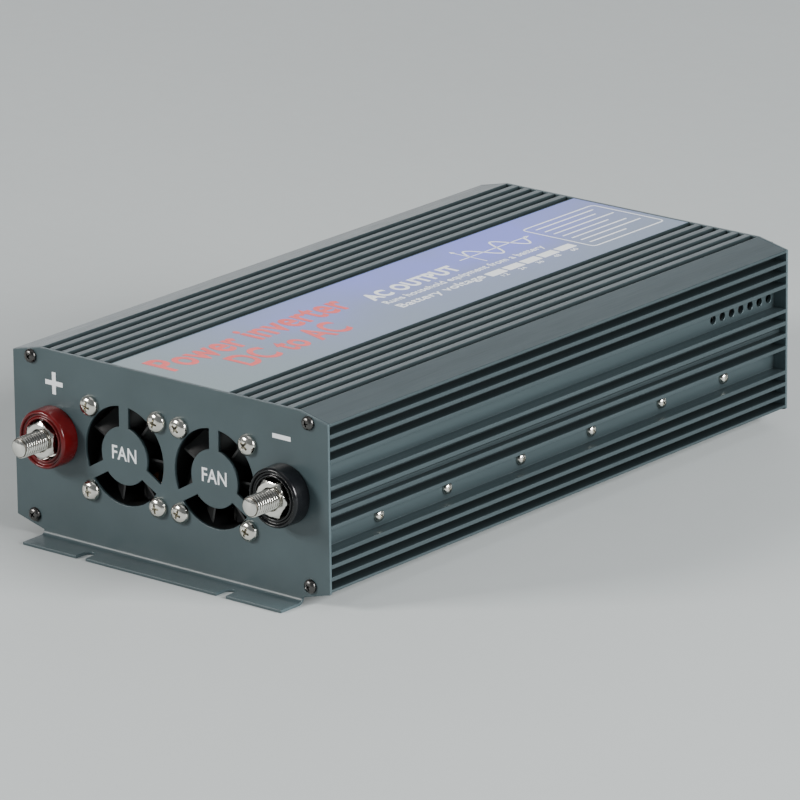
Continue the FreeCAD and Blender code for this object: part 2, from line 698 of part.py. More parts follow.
def busbar(label, side):
    """A copper strip from the stud down to the circuit board and along it."""
    body = new_body(label)
    drop = S.terminal_z - BOARD_TOP
    rise, run = 12.0, 52.0
    profile = sketch_on(body, "YZ_Plane")
    polygon(profile, [(0.0, rise), (0.0, -drop), (run, -drop), (run, S.bar_gauge - drop),
                      (S.bar_gauge, S.bar_gauge - drop), (S.bar_gauge, rise)])
    pad(body, profile, S.bar_width, both=True)
    eye = sketch_on(body, "XZ_Plane")
    circle(eye, 0, 0, STUD_BORE)
    pocket(body, eye, 2 * S.bar_gauge + 1, both=True)
    screws = sketch_on(body, "XY_Plane")
    for y in BAR_SCREWS:
        circle(screws, 0, y, BAR_SCREW_HOLE)
    pocket(body, screws, both=True)
    return keep(move(body, side * S.terminal_x, bar_face, S.terminal_z))


def stud(label, side):
    """A threaded stud: full thread from inside up to its nut, then a slimmer free end."""
    tip, root = -S.stud_reach, -(STACK + S.nut_thick + 0.6)
    inner_end = S.sheet_gauge + S.bush_gauge + S.bar_gauge + S.nut_thick + 2
    body = turned(label, [(tip, 0.0), (tip, S.stud_free - 0.9), (tip + 0.9, S.stud_free), (root, S.stud_free),
                          (root, S.stud_radius), (inner_end, S.stud_radius), (inner_end, 0.0)])
    return keep(move(body, *on_front(side * S.terminal_x, S.terminal_z)))


bar_face = fan_back + S.bush_gauge
for name, side in (("positive", -1), ("negative", 1)):
    terminal_body(name + "_terminal_body", side)
    stud(name + "_stud", side)
    busbar(name + "_busbar", side)
    nut = hex_nut(name + "_nut", S.nut_flat, S.nut_thick, S.stud_radius + THREAD_GAP)
    keep(move(nut, side * S.terminal_x, FRONT_FACE - STACK, S.terminal_z))

terminal_spots = [on_front(side * S.terminal_x, S.terminal_z) for side in (-1, 1)]
washer = turned("terminal_washer_pattern", [(-STACK, STUD_BORE), (-STACK, S.washer_radius),
                                            (-S.nut_seat, S.washer_radius), (-S.nut_seat, STUD_BORE)])
copies("terminal_washers", washer, terminal_spots)
bush_end = S.sheet_gauge + S.bush_gauge
bush = turned("inner_insulator_pattern", [(S.sheet_gauge, STUD_BORE), (S.sheet_gauge, S.bush_radius),
                                          (bush_end, S.bush_radius), (bush_end, STUD_BORE)])
copies("inner_insulators", bush, terminal_spots)
inner_nut = hex_nut("inner_nut_pattern", S.nut_flat, S.nut_thick, S.stud_radius + THREAD_GAP)
copies("inner_nuts", inner_nut, [(x, bar_face + S.bar_gauge + S.nut_thick, z) for x, _, z in terminal_spots])
bar_screw = pan_screw("busbar_screw_pattern", 4.0, 2.6, 1.95, 6.0)
bar_screw_places = [(side * S.terminal_x, bar_face + y, BOARD_TOP + S.bar_gauge,
                     Rotation(Vector(1, 0, 0), -90)) for side in (-1, 1) for y in BAR_SCREWS]
copies("busbar_screws", bar_screw, bar_screw_places)

# ---- rear fittings ----

def socket_body(label, x):
    """A square plate with a deep round recess and two pin holes in its floor."""
    body = new_body(label)
    half, cut = S.socket_plate / 2, S.socket_plate / 2 - 3
    floor = S.socket_depth - S.socket_lip
    plate = sketch_on(body, "XZ_Plane")
    polygon(plate, mirrored([(cut, -half), (half, -cut), (half, cut), (cut, half)]))
    pad(body, plate, S.socket_lip)
    barrel = sketch_on(body, "XZ_Plane")
    circle(barrel, 0, 0, S.socket_recess + 2.2)
    pad(body, barrel, floor + 16, back=True)
    recess = sketch_on(body, "XZ_Plane", 0, 0, S.socket_lip)
    circle(recess, 0, 0, S.socket_recess)
    pocket(body, recess, S.socket_depth)
    pins = sketch_on(body, "XZ_Plane", 0, 0, -floor)
    for side in (-1, 1):
        circle(pins, side * S.pin_pitch / 2, 0, 3.2)
    pocket(body, pins, 14.5)
    screws = sketch_on(body, "XZ_Plane", 0, 0, S.socket_lip)
    for a in (-1, 1):
        for b in (-1, 1):
            circle(screws, a * SOCKET_SCREW, b * SOCKET_SCREW, PANEL_SCREW_HOLE)
    pocket(body, screws, S.socket_lip)
    return keep(move(body, *on_rear(x, S.socket_z)))


def socket_contacts():
    """Brass pin sleeves and earth clips, for both sockets."""
    floor = float(S.socket_depth - S.socket_lip)
    sleeve = Part.makeCylinder(3.15, 13.5, Vector(0, floor + 0.6, 0), Vector(0, 1, 0))
    sleeve = sleeve.cut(Part.makeCylinder(2.45, 15.0, Vector(0, floor, 0), Vector(0, 1, 0)))
    clip = Part.makeBox(6.0, floor + 1.0, 0.7, Vector(-3.0, -1.0, 18.4))
    pieces = []
    for x in SOCKETS:
        x0, y0, z0, turn = on_rear(x, S.socket_z)
        for side in (-1, 1):
            pin = placed(sleeve, side * S.pin_pitch / 2)
            pieces.append(placed(pin, x0, y0, z0, turn))
            lug = placed(clip, turn=Rotation(Vector(0, 1, 0), 90 - 90 * side))
            pieces.append(placed(lug, x0, y0, z0, turn))
    return group("socket_contacts", pieces)


socket_body("left_socket", SOCKETS[0])
socket_body("right_socket", SOCKETS[1])
socket_contacts()
socket_screw = pan_screw("socket_screw_pattern", 2.8, 1.9, 1.45, 8.0)
socket_screw_places = []
for x in SOCKETS:
    for a in (-1, 1):
        for b in (-1, 1):
            px, py, pz, turn = on_rear(x + a * SOCKET_SCREW, S.socket_z + b * SOCKET_SCREW)
            socket_screw_places.append((px, py + S.socket_lip, pz, turn))
copies("socket_screws", socket_screw, socket_screw_places)


def switch_housing():
    """A bezel outside the panel and a hollow box behind it, with pivot holes in its sides."""
    body = new_body("switch_housing")
    bezel = sketch_on(body, "XZ_Plane")
    rectangle(bezel, -7.6, -10.6, 7.6, 10.6)
    pad(body, bezel, 2.0)
    box = sketch_on(body, "XZ_Plane")
    rectangle(box, -6.4, -9.4, 6.4, 9.4)
    pad(body, box, 16.0, back=True)
    well = sketch_on(body, "XZ_Plane", 0, 0, 2.0)
    rectangle(well, -5.6, -8.7, 5.6, 8.7)
    pocket(body, well, 12.0)
    pivot = sketch_on(body, "YZ_Plane", ROCKER_PIVOT)
    circle(pivot, 0, 0, 1.28)
    pocket(body, pivot, both=True)
    return keep(move(body, *on_rear(S.switch_x, S.switch_z)))


def switch_rocker():
    """A rocker tilted to its off position, on two stub pins."""
    body = new_body("switch_rocker")
    profile = sketch_on(body, "YZ_Plane")
    polygon(profile, [(-4.2, -7.7), (-3.1, 0.0), (-4.2, 7.7), (1.6, 7.4), (4.6, 2.0), (4.6, -2.0),
                      (1.6, -7.4)])
    pad(body, profile, 10.8, both=True)
    pins = sketch_on(body, "YZ_Plane")
    circle(pins, 0, 0, 1.2)
    pad(body, pins, 12.6, both=True)
    tilt = Rotation(Vector(1, 0, 0), ROCKER_TILT)
    spot = on_rear(S.switch_x, S.switch_z)
    return keep(move(body, spot[0], spot[1] - ROCKER_PIVOT, spot[2], HALF_TURN.multiply(tilt)))


switch_housing()
switch_rocker()
for label, x in zip(("power_lamp", "fault_lamp"), LAMPS):
    lamp = turned(label, [(-3.2, 0.0), (-2.9, 1.3), (-2.0, 2.2), (-0.8, 2.5), (S.sheet_gauge, 2.5),
                          (S.sheet_gauge, 3.4), (S.sheet_gauge + 1.2, 3.4), (S.sheet_gauge + 6.0, 2.5),
                          (S.sheet_gauge + 6.0, 0.0)])
    keep(move(lamp, *on_rear(x, S.lamp_z)))
earth = turned("earth_stud", [(-12.0, 0.0), (-12.0, S.earth_free - 0.6), (-11.4, S.earth_free),
                              (-4.6, S.earth_free), (-4.6, S.earth_radius),
                              (S.sheet_gauge, S.earth_radius), (S.sheet_gauge, 4.6), (S.sheet_gauge + 3, 4.6),
                              (S.sheet_gauge + 3, 0.0)])
keep(move(earth, *on_rear(S.switch_x, S.earth_z)))
earth_nut = hex_nut("earth_nut", 8.0, 4.0, S.earth_radius + THREAD_GAP)
keep(move(earth_nut, *on_rear(S.switch_x, S.earth_z)))

# ---- circuit board ----

board = new_body("main_board")
slab = sketch_on(board, "XY_Plane")
rectangle(slab, -S.board_half, -S.board_length / 2, S.board_half, S.board_length / 2)
for x, y, *_ in bar_screw_places:
    circle(slab, x, y - S.case_shift, BAR_SCREW_HOLE)
pad(board, slab, S.board_gauge)
keep(move(board, 0, S.case_shift, BOARD_TOP - S.board_gauge))


def standing(radius, height):
    """An upright can with a rolled groove near its foot and a rounded top edge."""
    can = Part.makeCylinder(radius, height)
    can = can.makeFillet(0.9, [edge for edge in can.Edges if edge.BoundBox.ZMin > height - 0.1])
    return can.cut(Part.makeTorus(radius + 0.5, 1.1, Vector(0, 0, 3.2)))


def on_board(shape, x, y):
    return placed(shape, x, S.case_shift + y, BOARD_TOP)


group("input_capacitors", [on_board(standing(8.0, 31.5), x, y)
                           for x in (-27, -9, 9, 27) for y in (-128, -110)])
group("bulk_capacitors", [on_board(standing(15.0, 45.0), x, -18) for x in (-46, 0, 46)])
fuse = Part.makeBox(19.0, 5.2, 12.0, Vector(-9.5, -2.6, 5.0))
for side in (-1, 1):
    fuse = fuse.fuse(Part.makeBox(5.2, 0.8, 5.0, Vector(side * 6.2 - 2.6, -0.4, 0.0)))
group("blade_fuses", [on_board(fuse, -46.5, y) for y in (-132, -121, -110, -99)])


def transformer(name, x):
    """A ferrite core with two windows, and a wound bobbin on its middle leg."""
    high, gap, leg = 55.0, 0.3, 8.6
    core = Part.makeBox(55.0, 21.0, high, Vector(-27.5, -10.5, 2.0))
    for side in (-1, 1):
        core = core.cut(Part.makeBox(10.3, 23.0, 37.0, Vector(side * 13.75 - 5.15, -11.5, 11.0)))
    feature = doc.addObject("Part::Feature", name + "_transformer_core")
    feature.Shape = core
    keep(move(feature, x, S.case_shift - 62, BOARD_TOP))
    coil = Part.makeBox(36.0, 38.0, 36.0, Vector(-18.0, -19.0, 11.5))
    coil = coil.makeFillet(5.0, [edge for edge in coil.Edges if edge.Vertexes[0].X == edge.Vertexes[1].X
                                 and edge.Vertexes[0].Y == edge.Vertexes[1].Y])
    window = Part.makeBox(2 * (leg + gap), 21 + 2 * gap, 40.0, Vector(-leg - gap, -10.5 - gap, 10.0))
    coil = coil.cut(window)
    feet = [Part.makeBox(36.0, 6.0, 11.5, Vector(-18.0, y, 0.0)) for y in (-18.5, 12.5)]
    winding = doc.addObject("Part::Feature", name + "_transformer_winding")
    winding.Shape = coil.fuse(feet[0]).fuse(feet[1])
    keep(move(winding, x, S.case_shift - 62, BOARD_TOP))


transformer("left", -30)
transformer("right", 30)


def transistor():
    """A flat power device standing on three leads, its back towards +X."""
    case = Part.makeBox(S.transistor_thick, 10.2, 15.4, Vector(-S.transistor_thick, -5.1, 4.6))
    for y in (-2.54, 0.0, 2.54):
        case = case.fuse(Part.makeBox(0.7, 0.9, 4.8, Vector(-2.6, y - 0.45, 0.0)))
    return case


def wall_places(offset):
    """Both inner side walls, as (x, turn) with the wall in the piece's own +X direction."""
    return [(INNER_WALL - offset, Rotation()), (offset - INNER_WALL, HALF_TURN)]


device = transistor()
devices = []
for x, turn in wall_places(S.strip_gauge):
    for spot in CLAMP_SCREWS:
        for shift in (-7.0, 7.0):
            devices.append(placed(device, x, S.case_shift + spot + shift, BOARD_TOP, turn))
group("transistors", devices)

CLAMP_HEIGHT = S.seam_height - S.clamp_screw_drop
strip = Part.makeBox(S.strip_gauge, 280.0, 20.0, Vector(0, -140.0, -10.0))
for spot in CLAMP_SCREWS:
    strip = strip.cut(Part.makeCylinder(1.7, 2.0, Vector(-0.5, spot, 0), Vector(1, 0, 0)))
group("insulating_strips", [placed(strip, side * (INNER_WALL - S.strip_gauge / 2) - S.strip_gauge / 2,
                                   S.case_shift, CLAMP_HEIGHT) for side in (-1, 1)])
bar = Part.makeBox(S.clamp_bar, 128.0, 8.0, Vector(-S.clamp_bar, 12.5, -4.0))
for spot in CLAMP_SCREWS[3:]:
    bar = bar.cut(Part.makeCylinder(1.55, 8.0, Vector(-5.0, spot, 0), Vector(1, 0, 0)))
bars = []
for x, turn in wall_places(S.strip_gauge + S.transistor_thick):
    for flip in (Rotation(), Rotation(Vector(1, 0, 0), 180)):
        bars.append(placed(bar, x, S.case_shift, CLAMP_HEIGHT, turn.multiply(flip)))
group("clamp_bars", bars)

ring = Part.makeCylinder(22.0, 16.0, Vector(0, 0, 4.5)).cut(Part.makeCylinder(14.0, 20.0, Vector(0, 0, 2)))
turn_count = 22
coil_turn = Part.makeBox(12.6, 2.6, 20.6, Vector(11.7, -1.3, 2.2))
coil_turn = coil_turn.cut(Part.makeBox(8.6, 4.0, 16.6, Vector(13.7, -2.0, 4.2)))
windings = []
for k in range(turn_count):
    loop = coil_turn.copy()
    loop.rotate(Vector(), Vector(0, 0, 1), k * 360 / turn_count)
    windings.append(loop)
group("inductor_cores", [on_board(ring, x, 43) for x in (-36, 36)])
group("inductor_windings", [on_board(loop, x, 43) for x in (-36, 36) for loop in windings])
film = Part.makeBox(31.0, 14.0, 25.0, Vector(-15.5, -7.0, 0.5))
group("film_capacitors", [on_board(film, x, y) for x, y in ((-38, 84), (0, 84), (38, 84))])

card = Part.makeBox(110.0, 1.6, 44.0, Vector(-55.0, -0.8, 3.0))
header = Part.makeBox(100.0, 5.0, 8.5, Vector(-50.0, 0.8, 0.0))
group("control_board", [on_board(card.fuse(header), 0, 6)])
chips = []
for x, z, wide, tall in ((-38, 30, 18, 8), (-12, 30, 10, 12), (12, 30, 10, 12), (38, 30, 18, 8),
                         (-25, 16, 6, 5), (0, 16, 6, 5), (25, 16, 6, 5)):
    chips.append(on_board(Part.makeBox(wide, 2.4, tall, Vector(x - wide / 2, -3.2, z - tall / 2 + 3)), 0, 6))
group("control_chips", chips)
sound = Part.makeCylinder(6.0, 9.5).cut(Part.makeCylinder(1.2, 3.0, Vector(0, 0, 7.5)))
group("buzzer", [on_board(sound, 62, 104)])

# ---- wiring held inside the case ----

def lead(x, y_start, z, y_down, radius, bend):
    """A wire that leaves a fitting level, along Y, and turns straight down to the board."""
    points = [(x, y_start, z), (x, y_down, z), (x, y_down, BOARD_TOP)]
    return tube([tuple(float(number) for number in point) for point in points], radius, bend)


fan_rear = fan_back + S.fan_thick
group("fan_leads", [lead(side * (S.fan_x + 12), fan_rear, S.fan_z - 21, fan_rear + 13, 1.2, 4.0)
                    for side in (-1, 1)])
socket_back = REAR_FACE - (S.socket_depth - S.socket_lip + 16)
group("socket_wires", [lead(offset - x, socket_back, S.socket_z + rise, socket_back - 12, 1.6, 7.0)
                       for x in SOCKETS for offset, rise in ((-9.5, 0), (0, 9.5), (9.5, 0))]
      + [lead(-S.switch_x, REAR_FACE - S.sheet_gauge - 3, S.earth_z, REAR_FACE - 30, 1.0, 2.0)])
group("signal_wires", [lead(offset - S.switch_x, REAR_FACE - 16, S.switch_z, REAR_FACE - 33, 1.0, 6.0)
                       for offset in (-3, 3)]
      + [lead(-x, REAR_FACE - S.sheet_gauge - 6, S.lamp_z, REAR_FACE - 36, 0.8, 6.0) for x in LAMPS])

doc.recompute()
for thing in doc.Objects:
    if "Invalid" in thing.State or "Error" in thing.State:
        raise SystemExit("%s failed: %s" % (thing.Label, thing.State))
os.makedirs("parts", exist_ok=True)
for label, feature in nodes.items():
    if feature.Shape.isNull() or not feature.Shape.isValid():
        raise SystemExit(label + " has no valid shape")
    feature.Shape.exportStep("parts/%s.step" % label)
print(len(nodes), "sub-parts written")
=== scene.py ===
import json
import math

import bmesh
import bpy
from mathutils import Matrix, Vector


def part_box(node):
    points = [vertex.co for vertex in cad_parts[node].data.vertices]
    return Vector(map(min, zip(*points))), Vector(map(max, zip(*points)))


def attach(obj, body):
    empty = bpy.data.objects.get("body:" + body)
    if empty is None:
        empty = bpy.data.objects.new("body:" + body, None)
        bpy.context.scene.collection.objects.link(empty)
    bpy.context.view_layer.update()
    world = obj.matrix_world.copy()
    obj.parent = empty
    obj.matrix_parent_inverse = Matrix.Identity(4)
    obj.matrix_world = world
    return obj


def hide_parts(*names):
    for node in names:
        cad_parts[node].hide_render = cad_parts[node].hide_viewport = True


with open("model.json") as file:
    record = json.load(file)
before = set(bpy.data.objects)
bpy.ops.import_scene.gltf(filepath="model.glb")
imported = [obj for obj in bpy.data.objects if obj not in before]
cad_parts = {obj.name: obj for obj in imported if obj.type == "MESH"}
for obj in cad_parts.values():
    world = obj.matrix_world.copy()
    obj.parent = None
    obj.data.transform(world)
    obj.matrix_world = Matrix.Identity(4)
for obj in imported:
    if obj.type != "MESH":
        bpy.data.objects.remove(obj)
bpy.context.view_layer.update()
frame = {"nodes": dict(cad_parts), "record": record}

# Sizes below are in millimetres, and MM turns them into the scene's metres.
MM = 0.001
SHEET = 1.5         # gauge of the end panels
INK = 0.06          # height of printing above its surface
INK_ROOT = 0.02     # and how far lettering goes below it


def middle(node):
    low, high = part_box(node)
    return (low + high) / 2


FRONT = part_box("front_panel")[1].y - SHEET * MM
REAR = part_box("rear_panel")[0].y + SHEET * MM
CASE_MIDDLE = middle("upper_shell").y
LABEL_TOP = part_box("top_label")[1].z
TO_REAR = Matrix.Rotation(math.pi, 4, "Z")


# ---- mesh helpers ----
# A form is (points, faces). Fittings are formed around their own Y axis, with their outer end towards -Y.

ON_AXIS = 1e-6              # a radius in mm below which a ring is one point
WELD_GAP = 1e-6             # metres between corners that are the same corner
LONGEST_ARC_SHARE = 0.45    # of the shorter neighbouring side, that a rounded corner may take


def solid(points, faces):
    """The form with its faces turned outwards."""
    mesh = bmesh.new()
    corners = [mesh.verts.new(point) for point in points]
    for face in faces:
        mesh.faces.new([corners[i] for i in face])
    bmesh.ops.recalc_face_normals(mesh, faces=mesh.faces)
    mesh.verts.index_update()
    result = [vert.co.copy() for vert in mesh.verts], [[v.index for v in face.verts] for face in mesh.faces]
    mesh.free()
    return result


def lathe(profile, steps=64):
    """A closed form from (along, radius) corners in mm, which start and end on the axis or form a loop."""
    points, rings, faces = [], [], []
    for along, radius in profile:
        count = 1 if radius < ON_AXIS else steps
        rings.append((len(points), count))
        for k in range(count):
            angle = 2 * math.pi * k / steps
            points.append(Vector((radius * math.cos(angle), along, radius * math.sin(angle))) * MM)
    pairs = list(zip(rings, rings[1:]))
    if rings[0][1] > 1:
        pairs.append((rings[-1], rings[0]))
    for (a, many_a), (b, many_b) in pairs:
        for k in range(steps):
            after = (k + 1) % steps
            if many_a == 1:
                faces.append([a, b + k, b + after])
            elif many_b == 1:
                faces.append([a + k, b, a + after])
            else:
                faces.append([a + k, b + k, b + after, a + after])
    return solid(points, faces)


def rounded(corners, radius, steps=4, closed=False):
    """The corners of an outline, each replaced by a short arc where there is room for one."""
    result = [] if closed else [corners[0]]
    count = len(corners)
    for i in range(0 if closed else 1, count if closed else count - 1):
        corner = Vector(corners[i])
        back, ahead = Vector(corners[i - 1]) - corner, Vector(corners[(i + 1) % count]) - corner
        reach = min(radius, back.length * LONGEST_ARC_SHARE, ahead.length * LONGEST_ARC_SHARE)
        start, end = corner + back.normalized() * reach, corner + ahead.normalized() * reach
        for k in range(steps + 1):
            t = k / steps
            result.append(tuple(start.lerp(corner, t).lerp(corner.lerp(end, t), t)))
    if not closed:
        result.append(corners[-1])
    return result


def prism(outline, depth, place):
    """A flat outline of (u, v) in mm raised by depth, put in place by a (u, v, w) matrix."""
    count = len(outline)
    points = [place @ (Vector((u, v, w)) * MM) for w in (0.0, depth) for u, v in outline]
    faces = [list(range(count)), list(range(count, 2 * count))]
    for k in range(count):
        after = (k + 1) % count
        faces.append([k, after, count + after, count + k])
    return solid(points, faces)


def ribbon(path, width, depth, place, closed=False):
    """A flat line of constant width along a path of (u, v) points."""
    path = [Vector(point) for point in path]
    count = len(path)
    left, right = [], []
    for i, point in enumerate(path):
        before = path[i - 1] if closed or i else point
        after = path[(i + 1) % count] if closed or i < count - 1 else point
        heading = (after - before).normalized()
        side = Vector((-heading.y, heading.x)) * width / 2
        left.append(point + side)
        right.append(point - side)
    points = []
    for w in (0.0, depth):
        for edge in (left, right):
            points += [place @ (Vector((spot.x, spot.y, w)) * MM) for spot in edge]
    faces = []
    for i in range(count if closed else count - 1):
        after = (i + 1) % count
        faces.append([i, after, count + after, count + i])
        faces.append([2 * count + i, 2 * count + after, 3 * count + after, 3 * count + i])
        faces.append([i, after, 2 * count + after, 2 * count + i])
        faces.append([count + i, count + after, 3 * count + after, 3 * count + i])
    if not closed:
        for i in (0, count - 1):
            faces.append([i, count + i, 3 * count + i, 2 * count + i])
    return solid(points, faces)


def moved(form, place):
    """A form put in place by a matrix."""
    return [place @ point for point in form[0]], form[1]


def joined(forms):
    """Several forms as one."""
    points, faces = [], []
    for some_points, some_faces in forms:
        start = len(points)
        points += some_points
        faces += [[start + i for i in face] for face in some_faces]
    return points, faces


def make_object(name, form, smooth=40):
    """An object of a form, shaded smooth across edges of less than so many degrees."""
    mesh = bpy.data.meshes.new(name)
    mesh.from_pydata([tuple(point) for point in form[0]], [], form[1])
    mesh.polygons.foreach_set("use_smooth", [True] * len(mesh.polygons))
    mesh.set_sharp_from_angle(angle=math.radians(smooth))
    thing = bpy.data.objects.new(name, mesh)
    bpy.context.scene.collection.objects.link(thing)
    return thing


def carved(form, cutter):
    """One form with another cut out of it."""
    block, tool = make_object("block", form), make_object("tool", cutter)
    cut = block.modifiers.new("cut", "BOOLEAN")
    cut.operation = "DIFFERENCE"
    cut.object = tool
    bpy.context.view_layer.update()
    mesh = block.evaluated_get(bpy.context.evaluated_depsgraph_get()).data
    result = [vert.co.copy() for vert in mesh.vertices], [list(face.vertices) for face in mesh.polygons]
    for thing in (block, tool):
        data = thing.data
        bpy.data.objects.remove(thing)
        bpy.data.meshes.remove(data)
    return result


def piece(name, form, slot, body="case", replaces=(), smooth=40):
    """A finished piece of the object, in its slot's material and riding on a body."""
    thing = make_object(name, form, smooth)
    thing.data.materials.append(MATERIALS[slot])
    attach(thing, body)
    if replaces:
        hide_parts(*replaces)
    return thing


def separate(node):
    """The separate solids of a CAD node, each as the middle and the size of its box."""
    mesh = bmesh.new()
    mesh.from_mesh(frame["nodes"][node].data)
    bmesh.ops.remove_doubles(mesh, verts=mesh.verts, dist=WELD_GAP)
    waiting, found = set(mesh.verts), []
    for first in list(mesh.verts):
        if first not in waiting:
            continue
        waiting.discard(first)
        island = [first]
        for vert in island:
            for edge in vert.link_edges:
                other = edge.other_vert(vert)
                if other in waiting:
                    waiting.discard(other)
                    island.append(other)
        low = Vector([min(vert.co[axis] for vert in island) for axis in range(3)])
        high = Vector([max(vert.co[axis] for vert in island) for axis in range(3)])
        found.append(((low + high) / 2, high - low))
    mesh.free()
    return found


# ---- materials ----
# Colours are linear. Every material varies in colour and roughness and has a fine relief.

RELIEF_DEPTH = 0.0002               # metres
GROOVE_SHADE_REACH = 0.006                # metres within which a groove's other wall paints shade on this one
GROOVE_SHADE_OPENNESS = (0.2, 0.7)        # how open a face is, from a closed groove to an open face, over which the painted shade fades out
LABEL_STOPS = [(0.0, (0.15, 0.21, 0.23)), (0.5, (0.155, 0.205, 0.40)), (1.0, (0.145, 0.18, 0.74))]


def link(material, source, output, target, socket):
    """A wire from one shader node's output to another's input."""
    material.node_tree.links.new(source.outputs[output], target.inputs[socket])


def add(material, kind, **values):
    """A new shader node with some of its inputs or settings given."""
    node = material.node_tree.nodes.new(kind)
    for key, value in values.items():
        if key in node.inputs:
            node.inputs[key].default_value = value
        else:
            setattr(node, key, value)
    return node


def stretched(material, stretch):
    """The object's own coordinates in metres, scaled along each axis."""
    place = add(material, "ShaderNodeTexCoord")
    mapping = add(material, "ShaderNodeMapping", Scale=stretch)
    link(material, place, "Object", mapping, "Vector")
    return mapping


def noise(material, stretch, detail=4.0, roughness=0.6):
    """Noise with so many features to the metre along each axis."""
    texture = add(material, "ShaderNodeTexNoise", Scale=1.0, Detail=detail, Roughness=roughness)
    link(material, stretched(material, stretch), "Vector", texture, "Vector")
    return texture


def spread(material, source, output, low, high, start=0.3, end=0.7):
    """What lies between start and end at a node's output, turned into numbers between low and high."""
    change = add(material, "ShaderNodeMapRange")
    change.inputs["From Min"].default_value = start
    change.inputs["From Max"].default_value = end
    change.inputs["To Min"].default_value = low
    change.inputs["To Max"].default_value = high
    link(material, source, output, change, "Value")
    return change


def colours(material, source, stops):
    """A node's first output turned into colours, from (position, colour) stops."""
    ramp = add(material, "ShaderNodeValToRGB")
    steps = ramp.color_ramp.elements
    while len(steps) < len(stops):
        steps.new(0.5)
    for step, (position, colour) in zip(steps, stops):
        step.position = position
        step.color = (*colour, 1.0)
    link(material, source, 0, ramp, "Fac")
    return ramp


def finish(name, dark, light, rough, metal=0.0, blotch=60.0, grain=1500.0, along=1.0, relief=0.03,
           patchy=0.06, groove=None, **extra):
    """A finish between two colours; along < 1 draws its grain out along Y, as on an extrusion.
    With groove set, narrow grooves get painted shade: their colour falls to that share of it."""
    material = bpy.data.materials.new(name)
    material.use_nodes = True
    shader = material.node_tree.nodes["Principled BSDF"]
    shader.inputs["Metallic"].default_value = metal
    for socket, value in extra.items():
        shader.inputs[socket].default_value = value
    broad = noise(material, (blotch, blotch * along, blotch))
    colour = colours(material, broad, [(0.3, dark), (0.7, light)])
    if groove is None:
        link(material, colour, "Color", shader, "Base Color")
    else:
        # Painted shade: the colour is darkened where nearby walls close the surface in, as in the case's
        # grooves.
        openness = add(material, "ShaderNodeAmbientOcclusion", Distance=GROOVE_SHADE_REACH)
        share = spread(material, openness, "AO", groove, 1.0, *GROOVE_SHADE_OPENNESS)
        groove_shaded = add(material, "ShaderNodeVectorMath", operation="SCALE")
        link(material, colour, "Color", groove_shaded, "Vector")
        link(material, share, "Result", groove_shaded, "Scale")
        link(material, groove_shaded, "Vector", shader, "Base Color")
    fine = noise(material, (grain, grain * along, grain), detail=3.0)
    roughness = spread(material, fine, "Fac", rough - patchy, rough + patchy)
    link(material, roughness, "Result", shader, "Roughness")
    bump = add(material, "ShaderNodeBump", Strength=relief, Distance=RELIEF_DEPTH)
    link(material, fine, "Fac", bump, "Height")
    link(material, bump, "Normal", shader, "Normal")
    return material


def label_film():
    """A printed film: grey-teal at its front end and violet-blue along its left side."""
    grey = (0.3, 0.3, 0.3)
    material = finish("label_film", grey, grey, 0.34, grain=2500.0, relief=0.02, patchy=0.04)
    shader = material.node_tree.nodes["Principled BSDF"]
    place = add(material, "ShaderNodeTexCoord")
    axes = add(material, "ShaderNodeSeparateXYZ")
    link(material, place, "Object", axes, "Vector")

    # How violet the film is across its width and down its length, from positions in metres.
    across = spread(material, axes, "X", 0.3, 1.0, 0.03, -0.02)
    down = spread(material, axes, "Y", 0.0, 1.0, -0.165, -0.03)
    for change in (across, down):
        change.interpolation_type = "SMOOTHSTEP"
    cloud = spread(material, noise(material, (9.0, 16.0, 9.0), detail=1.0), "Fac", 0.55, 1.1)
    both = add(material, "ShaderNodeMath", operation="MULTIPLY")
    link(material, across, "Result", both, 0)
    link(material, down, "Result", both, 1)
    clouded = add(material, "ShaderNodeMath", operation="MULTIPLY")
    link(material, both, 0, clouded, 0)
    link(material, cloud, "Result", clouded, 1)
    ramp = colours(material, clouded, LABEL_STOPS)
    link(material, ramp, "Color", shader, "Base Color")
    return material


